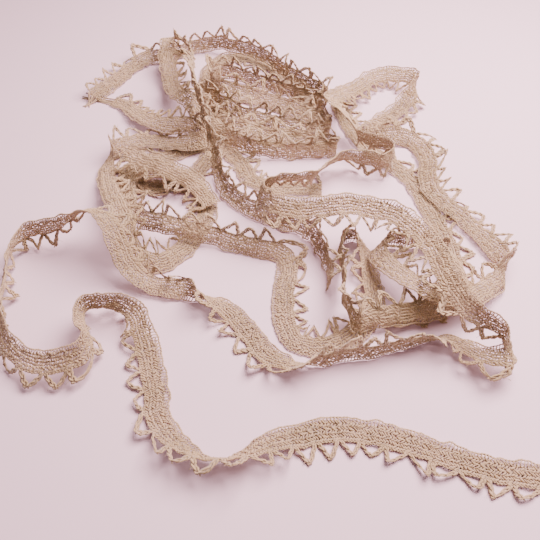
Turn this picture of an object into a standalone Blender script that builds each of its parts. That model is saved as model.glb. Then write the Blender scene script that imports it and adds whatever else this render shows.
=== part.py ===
"""A loose heap of narrow cotton lace edging, made of five lengths piled on a table."""

import math

import bmesh
import bpy
import numpy as np

# The lace, in metres: a close body band with a zigzag of picots along one side.
BODY_WIDTH = 0.012
PICOT_DEPTH = 0.008
PITCH = 0.0109  # from one picot to the next
PLAIT_WIDTH = 0.0017  # the plaited legs of a picot
THICKNESS = 0.0012
LACE_COLOUR = (0.62, 0.50, 0.37, 1.0)

# Where the heap is seen from. Each row below gives the place on the table where the middle of
# the body band is seen from there, so a stretch that lies higher is moved along its line of sight.
EYE_BACK = 0.2063
EYE_HEIGHT = 0.2459

# How the lengths are laid: later runs rest on earlier ones.
STEP = 0.0025  # between two places where the laying is worked out
GAP = 0.0008  # left between two layers
ARCH_SLOPE = 0.75  # steepest climb of the lace over what it crosses
ARCH_RADIUS = 0.010
REACH = 0.0019  # how near two places are in plan where one rests on the other
OWN_STRETCH = 0.024  # neighbouring places along one length never rest on each other
SIGHT_ROUNDS = 5
MOST_HEIGHT = 0.034
LAY_ROUNDS = 40
SETTLED = 0.0014  # how far the last, shortest length sinks onto what is under it
UP = np.array([0.0, 0.0, 1.0])

# Each run is its place in the order of laying and its rows: x and y in millimetres, lean in
# degrees (0 flat with the picots on the left, 90 standing with the picots up, 180 flat with the
# picots on the right), and the fold of the picots against the body in degrees.
LENGTH_ONE = {
    "tail": (0, [
        (136, -118, 0, 0),
        (120, -116, 0, 0),
        (104, -114, 0, 0),
        (86, -109.5, 0, 0),
        (68, -102.5, 0, 0),
        (50, -96.5, 0, 0),
        (32, -94, 0, 0),
        (12, -97, 0, 0),
        (-2, -101, 25, -20),
        (-16, -107.5, 62, -50),
        (-30, -106.5, 60, -50),
        (-42, -99.5, 30, -20),
        (-51, -88, 5, 0),
        (-54, -74, 0, 0),
        (-58, -60, 0, 0),
        (-63, -45, -8, 0),
        (-69, -31, -35, 0),
        (-77, -23.5, -65, -40),
        (-88, -21.5, -85, -80),
        (-97, -22.5, -90, -70),
        (-100, -29, -80, -40),
        (-97, -38, -70, 0),
        (-92.5, -46, -75, 0),
    ]),
    "left loop": (0, [
        (-94, -54, -60, 0),
        (-104, -58.5, -45, 0),
        (-116, -58.5, -40, 0),
        (-127, -52, -45, 0),
        (-135.5, -41, -55, -20),
        (-141.5, -25, -65, -50),
        (-145, -8, -70, -60),
        (-147.5, 8, -70, -60),
        (-148, 20, -70, -60),
        (-143, 28.5, -85, -60),
        (-131, 30.5, -90, -60),
    ]),
    "swag": (12, [
        (-121, 34, -70, -20),
        (-113, 41, -45, 0),
        (-103, 41.5, -35, 0),
        (-95, 33, -25, 0),
        (-88, 20, -15, 0),
        (-80, 5, 0, 0),
        (-70, -7, 0, 40),
        (-57, -12.5, 10, 90),
        (-46, -13.5, 40, 80),
        (-37, -17, 100, 30),
        (-29, -22, 150, 0),
        (-20, -29, 175, 0),
        (-11, -41, 180, 0),
        (-3, -52, 180, 0),
        (5, -57.5, 165, 0),
        (15, -60, 125, 0),
    ]),
    "front edge": (10, [
        (26, -57.5, 90, 0),
        (39, -54.5, 90, 0),
        (52, -52.5, 90, 0),
        (66, -48.5, 95, 0),
        (79, -43.5, 105, 0),
        (91, -41.5, 140, 0),
        (101, -45, 165, 0),
        (110, -51, 180, 0),
    ]),
    "curl": (12, [
        (118, -53, 215, 0),
        (121, -45, 255, 0),
        (117, -37, 270, 0),
        (111, -30, 285, 0),
        (104, -21, 310, 0),
        (98, -8, 325, 0),
        (94, 8, 335, 0),
        (89, 24, 340, 0),
    ]),
    "wide run": (18, [
        (81, 36, 335, 0),
        (70, 44, 325, 0),
        (55, 48, 320, 0),
        (40, 49, 320, 0),
        (25, 48, 320, 0),
        (12, 48, 315, 0),
        (1, 51, 300, 0),
        (-5, 58, 290, 0),
        (-5, 67, 285, 0),
        (4, 73, 300, 0),
        (17, 72, 300, 0),
        (28, 76, 300, 0),
        (35, 86, 300, 0),
        (42, 95, 300, 0),
        (52, 98, 290, 0),
    ]),
    "inner ring": (11, [
        (63, 95, 270, 0),
        (74, 92, 270, 0),
        (82, 99, 270, 0),
        (81, 109, 265, 0),
        (72, 115, 260, 0),
        (62, 121, 250, 0),
        (58, 132, 235, 0),
        (53, 144, 220, 0),
        (47, 155, 210, 0),
        (47, 167, 205, 0),
        (55, 177, 205, 0),
        (67, 185, 210, 0),
    ]),
    "high arch": (4, [
        (79, 194, 215, 0),
        (92, 198, 220, 0),
        (104, 196, 225, 0),
        (111, 190, 250, 0),
        (109, 181, 290, 0),
        (104, 170, 320, 0),
        (97, 158, 340, 0),
        (89, 147, 350, 0),
    ]),
    "right arch": (6, [
        (79, 139, 360, 0),
        (72, 132, 380, 0),
        (73, 124, 400, 0),
        (84, 121, 405, 0),
        (95, 117, 400, 0),
        (102, 106, 385, 0),
        (104, 92, 380, 0),
        (101, 78, 375, 0),
    ]),
    "right strip": (6, [
        (101, 66, 370, 0),
        (107, 54, 365, 0),
        (114, 42, 360, 0),
        (121, 30, 360, 0),
        (127, 19, 375, 0),
        (131, 10, 410, 0),
        (131, 1, 455, 0),
        (125, -7, 505, 0),
        (117, -13, 530, 0),
        (108, -19, 540, 0),
        (98, -21, 540, 0),
        (87, -16, 545, 0),
        (76, -8, 545, 0),
        (66, 2, 525, 0),
        (61, 13, 490, 0),
    ]),
    "bulge": (5, [
        (67, 22, 460, 0),
        (79, 23, 455, 0),
        (92, 21, 465, 0),
        (102, 13, 480, 0),
        (106, 1, 500, 0),
        (104, -9, 515, 0),
        (98, -19, 520, 0),
    ]),
    "pocket": (4, [
        (90, -26, 505, 0),
        (79, -29, 495, 0),
        (66, -31, 490, 0),
        (54, -33, 480, 0),
        (45, -36, 465, 0),
        (41, -29, 450, 0),
        (40, -15, 450, 0),
        (40, 0, 450, 0),
        (39, 14, 450, 0),
        (42, 24, 450, 0),
        (49, 27, 460, 0),
        (54, 20, 480, 0),
        (55, 8, 500, 0),
        (56, -6, 520, 0),
    ]),
    "under": (2, [
        (56, -20, 530, 0),
        (50, -34, 530, 0),
        (38, -46, 530, 0),
        (24, -50, 530, 0),
        (13, -47, 535, 0),
        (8, -38, 540, 0),
        (7, -24, 540, 0),
        (8, -10, 540, 0),
        (10, 3, 530, 0),
    ]),
    "left cross": (4, [
        (6, 12, 500, 0),
        (-6, 15, 480, 0),
        (-21, 20, 480, 0),
        (-38, 27, 475, 0),
        (-56, 32, 475, 0),
        (-70, 35, 480, 0),
        (-81, 42, 500, 0),
        (-87, 54, 520, 0),
        (-90, 67, 535, 0),
        (-90, 79, 540, 0),
    ]),
    "left panel": (6, [
        (-83, 86, 540, 0),
        (-71, 83, 540, 0),
        (-59, 78, 540, 0),
        (-48, 70, 540, 0),
        (-40, 58, 540, 0),
    ]),
    "bowl": (2, [
        (-38, 45, 540, 0),
        (-42, 30, 530, 0),
        (-50, 15, 515, 0),
        (-61, 5, 505, 0),
        (-73, 8, 505, 0),
        (-81, 20, 515, 0),
    ]),
    "left side": (9, [
        (-86, 36, 530, 0),
        (-93, 50, 535, 0),
        (-100, 64, 540, 0),
        (-105, 79, 535, 0),
        (-107, 93, 500, 0),
        (-103, 106, 430, 0),
        (-92, 113, 380, 0),
        (-77, 114, 368, 0),
        (-63, 112, 375, 0),
    ]),
    "frayed end": (10, [
        (-50, 114, 405, 0),
        (-44, 123, 440, 0),
        (-52, 131, 470, 0),
        (-65, 133, 495, 0),
        (-76, 134, 512, 0),
        (-86, 138, 530, 0),
        (-97, 148, 540, 0),
        (-107, 158, 540, 0),
        (-115, 161, 540, 0),
    ]),
}
LENGTH_TWO = {
    "frayed end": (0, [
        (-131, 168, 40, 0),
        (-122, 181, 20, 0),
        (-113, 197, 10, 0),
        (-105, 212, 15, 0),
        (-97, 222, 40, 0),
        (-88, 224, 80, 0),
        (-78, 228, 90, 0),
        (-68, 235, 90, 0),
    ]),
    "ridge": (1, [
        (-58, 240, 90, 0),
        (-46, 243, 90, 0),
        (-32, 240, 90, 0),
        (-18, 235, 90, 0),
        (-6, 227, 90, 0),
        (5, 213, 90, 0),
        (14, 200, 90, 0),
        (24, 190, 90, 0),
        (34, 181, 90, 0),
        (42, 172, 90, 0),
        (42, 163, 90, 0),
    ]),
    "second ridge": (2, [
        (34, 161, 90, 0),
        (22, 169, 90, 0),
        (8, 178, 90, 0),
        (-8, 187, 90, 0),
        (-24, 196, 90, 0),
        (-37, 201, 90, 0),
        (-45, 195, 90, 0),
        (-42, 184, 75, 0),
    ]),
    "broad run": (3, [
        (-31, 177, 60, 0),
        (-17, 170, 50, 0),
        (-2, 162, 45, 0),
        (13, 154, 45, 0),
        (27, 145, 50, 0),
        (39, 137, 65, 0),
        (42, 128, 85, 0),
        (34, 124, 100, 0),
    ]),
    "lower run": (5, [
        (21, 128, 110, 0),
        (5, 133, 115, 0),
        (-11, 140, 115, 0),
        (-26, 150, 110, 0),
        (-38, 163, 100, 0),
        (-47, 170, 90, 0),
        (-52, 162, 85, 0),
    ]),
    "lowest run": (7, [
        (-44, 149, 70, 0),
        (-31, 136, 50, 0),
        (-16, 127, 40, 0),
        (0, 121, 35, 0),
        (16, 118, 40, 0),
        (31, 116, 55, 0),
        (43, 113, 75, 0),
        (45, 106, 90, 0),
    ]),
    "middle band": (8, [
        (36, 104, 95, 0),
        (23, 103, 100, 0),
        (9, 103, 100, 0),
        (-5, 105, 100, 0),
        (-19, 112, 105, 0),
        (-33, 123, 120, 0),
        (-46, 135, 140, 0),
        (-58, 147, 160, 0),
        (-68, 160, 175, 0),
        (-73, 176, 180, 0),
        (-77, 192, 180, 0),
        (-79, 206, 175, 0),
        (-75, 216, 160, 0),
        (-67, 217, 135, 0),
        (-61, 208, 110, 0),
    ]),
    "inner run": (14, [
        (-59, 193, 95, 0),
        (-56, 177, 90, 0),
        (-51, 161, 85, 0),
        (-46, 144, 80, 0),
        (-41, 127, 75, 0),
        (-37, 110, 70, 0),
    ]),
    "outer swag": (5, [
        (-34, 92, 65, 0),
        (-30, 75, 60, 0),
        (-21, 58, 60, 0),
        (-9, 47, 60, 0),
        (4, 41, 60, 0),
        (16, 36, 65, 0),
        (26, 27, 70, 0),
        (31, 15, 75, 0),
        (33, 1, 80, 0),
        (32, -11, 80, 0),
    ]),
}
LENGTH_THREE = {
    "low strip": (-1, [
        (49.6, 158.2, 0, 0),
        (53.8, 138.7, 0, 0),
        (58.6, 121.5, 0, 0),
        (65.3, 107.3, 0, 0),
        (74.5, 94.7, 0, 0),
        (85.2, 81.7, 0, 0),
        (93.1, 63.7, 0, 0),
        (97.4, 42.4, 0, 0),
        (101.3, 21.9, 0, 0),
        (102, 2.9, 0, 0),
        (96.7, -12.7, 5, 0),
        (86.2, -22.8, 8, 0),
        (72.1, -28.7, 8, 0),
        (58.1, -32.5, 8, 0),
    ]),
}
LENGTH_FOUR = {
    "low ladder": (-1, [
        (32.6, 65.5, 180, 0),
        (18.8, 66.4, 180, 0),
        (3.1, 67.4, 180, 0),
        (-11.5, 74.9, 180, 0),
        (-19.7, 91.7, 180, 0),
        (-30.9, 105.1, 180, 0),
        (-45.2, 108.3, 180, 0),
        (-58.9, 103, 180, 0),
        (-70.8, 96.8, 180, 0),
        (-82.4, 94.7, 180, 0),
        (-90.1, 84.7, 180, 0),
        (-82.3, 71.1, 180, 0),
        (-69.3, 68.3, 180, 0),
        (-56.1, 74.9, 180, 0),
        (-46.7, 84.7, 180, 0),
    ]),
    "low turn": (0, [
        (-40.5, 98.8, 180, 0),
        (-36.3, 118.2, 180, 0),
        (-41.2, 141.1, 180, 0),
        (-46.5, 165.8, 180, 0),
        (-47.8, 195.4, 180, 0),
        (-38.4, 221.5, 185, 0),
        (-18.4, 223, 185, 0),
        (1.6, 208.2, 185, 0),
        (19, 185.7, 185, 0),
        (31.5, 159.5, 185, 0),
        (36.6, 134, 185, 0),
    ]),
}
LENGTH_FIVE = {
    "panel": (13, [
        (-97.6, 103, 200, 0),
        (-86, 96.8, 212, 0),
        (-74, 90.7, 218, 0),
        (-62.2, 84.7, 220, 0),
        (-51.2, 76.8, 215, 0),
        (-42, 65.5, 200, 0),
        (-36.2, 52.8, 190, 0),
    ]),
}
LENGTHS = {
    "lace_length_one": LENGTH_ONE,
    "lace_length_two": LENGTH_TWO,
    "lace_length_three": LENGTH_THREE,
    "lace_length_four": LENGTH_FOUR,
    "lace_length_five": LENGTH_FIVE,
}

# Picots left shut, hidden under the heap: from one repeat up to another.
SHUT_PICOTS = {
    "lace_length_one": [(126, 137), (160, 171)],
    "lace_length_two": [(45, 55)],
    "lace_length_three": [(0, 60)],
    "lace_length_four": [(0, 60)],
    "lace_length_five": [(0, 60)],
}


def smooth_path(rows, step):
    """Rows read from a smooth curve through them, a step apart."""
    rows = np.array(rows, float)
    ends = np.vstack([2 * rows[0] - rows[1], rows, 2 * rows[-1] - rows[-2]])
    chords = np.linalg.norm(np.diff(ends[:, :2], axis=0), axis=1)
    dense = []
    for k in range(1, len(rows)):
        before, start, end, after = ends[k - 1 : k + 3]
        leave = (end - before) * chords[k] / (chords[k - 1] + chords[k])
        arrive = (after - start) * chords[k] / (chords[k] + chords[k + 1])
        for t in np.linspace(0, 1, 24, endpoint=False):
            t2, t3 = t * t, t**3
            dense.append(
                (2 * t3 - 3 * t2 + 1) * start + (t3 - 2 * t2 + t) * leave
                + (3 * t2 - 2 * t3) * end + (t3 - t2) * arrive
            )
    dense = np.array(dense + [rows[-1]])
    return respace(dense, dense[:, :2], step)


def respace(values, points, step):
    """The values read again at even steps along the line through the points."""
    run = np.concatenate([[0], np.cumsum(np.linalg.norm(np.diff(points, axis=0), axis=1))])
    marks = np.linspace(0, run[-1], max(2, round(run[-1] / step) + 1))
    return np.column_stack([np.interp(marks, run, column) for column in values.T])


def lay_out(runs):
    """One row for each place along a length: x, y, lean, fold and order of laying."""
    rows = []
    for order, table in runs.values():
        rows += [
            (x / 1000, y / 1000, math.radians(lean), math.radians(fold), order)
            for x, y, lean, fold in table
        ]
    path = smooth_path(rows, STEP)
    path[:, 4] = np.round(path[:, 4])
    return path


def sideways(points):
    """The unit vector to the left of a line, in plan."""
    along = np.gradient(points[:, :2], axis=0)
    along /= np.linalg.norm(along, axis=1)[:, None]
    return np.column_stack([-along[:, 1], along[:, 0], np.zeros(len(along))])


def across(lean, fold, offset):
    """How far to the left and how far up a place is that lies offset across the lace."""
    body = np.minimum(offset, BODY_WIDTH / 2)
    picot = np.maximum(offset - BODY_WIDTH / 2, 0)
    left = body * np.cos(lean) + picot * np.cos(lean + fold)
    up = body * np.sin(lean) + picot * np.sin(lean + fold)
    return left, up


def along_sight(path, height):
    """Each row's own place in plan, once it lies at its height."""
    share = height / EYE_HEIGHT
    x = path[:, 0] * (1 - share)
    y = path[:, 1] - share * (path[:, 1] + EYE_BACK)
    return np.column_stack([x, y])


def soften(need, step):
    """The lowest smooth line along a length that stays above what it has to clear."""
    reach = np.arange(len(need)) * step
    drop = np.sqrt((ARCH_SLOPE * reach) ** 2 + ARCH_RADIUS**2) - ARCH_RADIUS
    apart = np.abs(np.arange(len(need))[:, None] - np.arange(len(need))[None, :])
    line = (need[None, :] - drop[apart]).max(axis=1)
    for _ in range(6):
        padded = np.pad(line, 2, mode="edge")
        mean = (padded[:-4] + padded[1:-3] + padded[2:-2] + padded[3:-1] + padded[4:]) / 5
        line = np.maximum(need, mean)
    return line


def resting_pairs(places, sheet, order, station):
    """Pairs of samples, the later laid one first, that lie over each other in plan."""
    upper, lower = [], []
    for k in range(0, len(places), 400):
        block = slice(k, k + 400)
        close = np.abs(places[block, None, 0] - places[None, :, 0]) < REACH
        close &= np.abs(places[block, None, 1] - places[None, :, 1]) < REACH
        close &= order[block, None] > order[None, :]
        near = np.abs(station[block, None] - station[None, :]) * STEP < OWN_STRETCH
        close &= ~((sheet[block, None] == sheet[None, :]) & near)
        rows, columns = np.nonzero(close)
        upper.append(rows + k)
        lower.append(columns)
    return np.concatenate(upper), np.concatenate(lower)


def lay(paths):
    """Each length's places in plan and their heights, with every run resting on those before it."""
    offsets = np.linspace(-BODY_WIDTH / 2, BODY_WIDTH / 2 + PICOT_DEPTH, 9)
    first = np.cumsum([0] + [len(path) for path in paths])
    count = first[-1]
    order = np.repeat(np.concatenate([path[:, 4] for path in paths]), len(offsets))
    sheet = np.concatenate([np.full(len(p) * len(offsets), k) for k, p in enumerate(paths)])
    station = np.concatenate([np.repeat(np.arange(len(p)), len(offsets)) for p in paths])
    owner = np.repeat(np.arange(count), len(offsets))
    height = np.full(count, THICKNESS / 2)
    seen = height
    for _ in range(SIGHT_ROUNDS):
        seen = (seen + height) / 2
        plans = [along_sight(p, seen[a:b]) for p, a, b in zip(paths, first, first[1:])]
        places, ups = [], []
        for path, plan in zip(paths, plans):
            left, up = across(path[:, 2, None], path[:, 3, None], offsets[None, :])
            places.append(plan[:, None, :] + left[:, :, None] * sideways(plan)[:, None, :2])
            ups.append(up)
        places = np.concatenate([p.reshape(-1, 2) for p in places])
        ups = np.concatenate([u.ravel() for u in ups])
        floor = THICKNESS / 2 - ups.reshape(count, -1).min(axis=1)
        upper, lower = resting_pairs(places, sheet, order, station)
        climb = ups[lower] - ups[upper] + THICKNESS + GAP
        height = floor.copy()
        for _ in range(LAY_ROUNDS):
            need = floor.copy()
            np.maximum.at(need, owner[upper], height[owner[lower]] + climb)
            new = np.concatenate(
                [soften(need[a:b], STEP) for a, b in zip(first, first[1:])]
            )
            new = np.minimum(new, MOST_HEIGHT)
            settled = np.abs(new - height).max() < 1e-5
            height = new
            if settled:
                break
    return plans, [height[a:b] for a, b in zip(first, first[1:])]


def guide(path, plan, height):
    """The middle of the body along a length, half a repeat apart: x, y, z, lean and fold."""
    rows = np.column_stack([plan, height, path[:, 2:4]])
    run = np.linalg.norm(np.diff(rows[:, :3], axis=0), axis=1).sum()
    repeats = round(run / PITCH)
    return respace(rows, rows[:, :3], run / (2 * repeats))


def normal(lean, level):
    """The upper side of the lace where it leans, with level its direction to the left."""
    return -np.sin(lean) * level + np.cos(lean) * UP


def corner(line, level, place, offset, side):
    """A corner of the lace: place counts half repeats along it, and offset is across it."""
    k = min(int(place), len(line) - 2)
    share = place - k
    row = (1 - share) * line[k] + share * line[k + 1]
    left = (1 - share) * level[k] + share * level[k + 1]
    left /= np.linalg.norm(left)
    out, up = across(row[3], row[4], offset)
    turned = {-1: 0, 0: row[4] / 2, 1: row[4]}[int(np.sign(offset - BODY_WIDTH / 2))]
    point = row[:3] + out * left + up * UP
    return point + side * THICKNESS / 2 * normal(row[3] + turned, left)


def repeat_outline(k, open_picot):
    """The faces of one side of a repeat, as corners (place, offset), counterclockwise."""
    root = BODY_WIDTH / 2
    slope = math.hypot(PITCH / 2, PICOT_DEPTH)
    foot = PLAIT_WIDTH * slope / PICOT_DEPTH / (PITCH / 2)
    crown = root + PICOT_DEPTH - PLAIT_WIDTH * slope / (PITCH / 2)
    start, middle, end = 2 * k, 2 * k + 1, 2 * k + 2
    tip = (middle, root + PICOT_DEPTH)
    if not open_picot:
        return [
            [(start, -root), (middle, -root), (middle, root), (start, root)],
            [(middle, -root), (end, -root), (end, root), (middle, root)],
            [(start, root), (middle, root), tip],
            [(middle, root), (end, root), tip],
        ]
    near, far, inner = (start + foot, root), (end - foot, root), (middle, crown)
    return [
        [(start, -root), (middle, -root), (middle, root), near, (start, root)],
        [(middle, -root), (end, -root), (end, root), far, (middle, root)],
        [(start, root), near, inner, tip],
        [inner, far, (end, root), tip],
    ]


def lace_solid(line, shut):
    """Corners and faces of a whole length, its edges closed by a wall wherever a side ends."""
    level = sideways(line)
    repeats = len(line) // 2
    sides = []
    for k in range(repeats):
        sides += repeat_outline(k, not any(start <= k < end for start, end in shut))
    places = sorted({place for face in sides for place in face})
    number = {place: k for k, place in enumerate(places)}
    count = len(places)
    corners = [corner(line, level, *place, 1) for place in places]
    corners += [corner(line, level, *place, -1) for place in places]
    upper = [[number[place] for place in face] for face in sides]
    lower = [[k + count for k in reversed(face)] for face in upper]
    edges = {edge for face in upper for edge in zip(face, face[1:] + face[:1])}
    walls = [(a, a + count, b + count, b) for a, b in sorted(edges) if (b, a) not in edges]
    return np.array(corners), upper + lower + walls


def add_object(name, corners, faces, material):
    mesh = bpy.data.meshes.new(name)
    mesh.from_pydata([tuple(point) for point in corners], [], faces)
    mesh.materials.append(material)
    shape = bmesh.new()
    shape.from_mesh(mesh)
    bmesh.ops.triangulate(shape, faces=shape.faces, quad_method="SHORT_EDGE")
    shape.to_mesh(mesh)
    shape.free()
    obj = bpy.data.objects.new(name, mesh)
    bpy.context.scene.collection.objects.link(obj)


def cotton(name):
    material = bpy.data.materials.new(name)
    material.use_nodes = True
    shader = material.node_tree.nodes["Principled BSDF"]
    shader.inputs["Base Color"].default_value = LACE_COLOUR
    shader.inputs["Roughness"].default_value = 0.9
    return material


def main():
    for obj in list(bpy.data.objects):
        bpy.data.objects.remove(obj)
    paths = [lay_out(runs) for runs in LENGTHS.values()]
    plans, heights = lay(paths)
    heights[-1] -= SETTLED
    lines = [guide(*rows) for rows in zip(paths, plans, heights)]
    solids = [lace_solid(line, SHUT_PICOTS[name]) for name, line in zip(LENGTHS, lines)]
    everything = np.vstack([corners for corners, _ in solids])
    low, high = everything.min(axis=0), everything.max(axis=0)
    base = np.array([(low[0] + high[0]) / 2, (low[1] + high[1]) / 2, low[2]])
    for name, (corners, faces) in zip(LENGTHS, solids):
        add_object(name, corners - base, faces, cotton(name + "_cotton"))


if __name__ == "__main__":
    main()
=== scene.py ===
import math
import random

import bmesh
import bpy
import numpy as np
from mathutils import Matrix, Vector


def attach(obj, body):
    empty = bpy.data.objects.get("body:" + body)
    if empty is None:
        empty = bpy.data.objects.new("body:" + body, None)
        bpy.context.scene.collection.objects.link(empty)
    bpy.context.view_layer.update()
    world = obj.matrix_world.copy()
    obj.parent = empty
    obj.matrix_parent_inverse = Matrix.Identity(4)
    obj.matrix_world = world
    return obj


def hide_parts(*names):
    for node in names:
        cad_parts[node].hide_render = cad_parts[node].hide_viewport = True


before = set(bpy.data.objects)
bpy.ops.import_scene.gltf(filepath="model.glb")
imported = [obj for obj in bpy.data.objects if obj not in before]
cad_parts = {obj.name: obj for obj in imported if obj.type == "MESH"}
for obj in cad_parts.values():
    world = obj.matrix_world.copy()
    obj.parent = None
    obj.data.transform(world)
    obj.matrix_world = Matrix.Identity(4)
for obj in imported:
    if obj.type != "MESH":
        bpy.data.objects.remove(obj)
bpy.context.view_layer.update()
for name in ("Cube", "Light", "Camera"):
    if name in bpy.data.objects:
        bpy.data.objects.remove(bpy.data.objects[name])
print("frame loaded")

lace = {  # metres
    "bodyWidth": 0.012,
    "picotDepth": 0.008,
    "pitch": 0.0109,  # from one picot to the next
    "thickness": 0.0012,
    "flatWidth": 0.020,
}
heap = {  # how the lengths are laid over each other
    "step": 0.0025,
    "gap": 0.0008,
    "archSlope": 0.75,
    "archRadius": 0.010,
    "reach": 0.0019,
    "ownStretch": 0.024,
    "sightRounds": 5,
    "layRounds": 40,
    "mostHeight": 0.034,
    "settled": 0.0014,  # how far the last, shortest length sinks onto what is under it
    "eyeBack": 0.2063,  # the camera, behind and above the middle of the table
    "eyeHeight": 0.2459,
    "stationsPerRepeat": 8,
    "placesAcross": 9,  # looked at for what lies under them
    "placesAtOnce": 400,
    "softenRounds": 6,
    "stepsPerRow": 24,  # of the smooth curve, from one row to the next
    "still": 1e-5,  # the laying ends once nothing moves further than this
}

placing = {
    "base": (-0.00303, 0.04958, 0.0),  # the middle of the heap's box, so that it stands at the origin
    "pieces": {  # what each length's pieces are named, from its start
        "lace_length_one": ("tailAndLoop", "frontAndCurl", "rightSide", "leftSide"),
        "lace_length_two": ("backRidge", "innerFolds"),
        "lace_length_three": ("lowStrip",),
        "lace_length_four": ("lowLadder",),
        "lace_length_five": ("leftPanel",),
    },
}

# Each run: its place in the order of laying, then rows of x mm, y mm, lean and picot fold in degrees.

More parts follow.
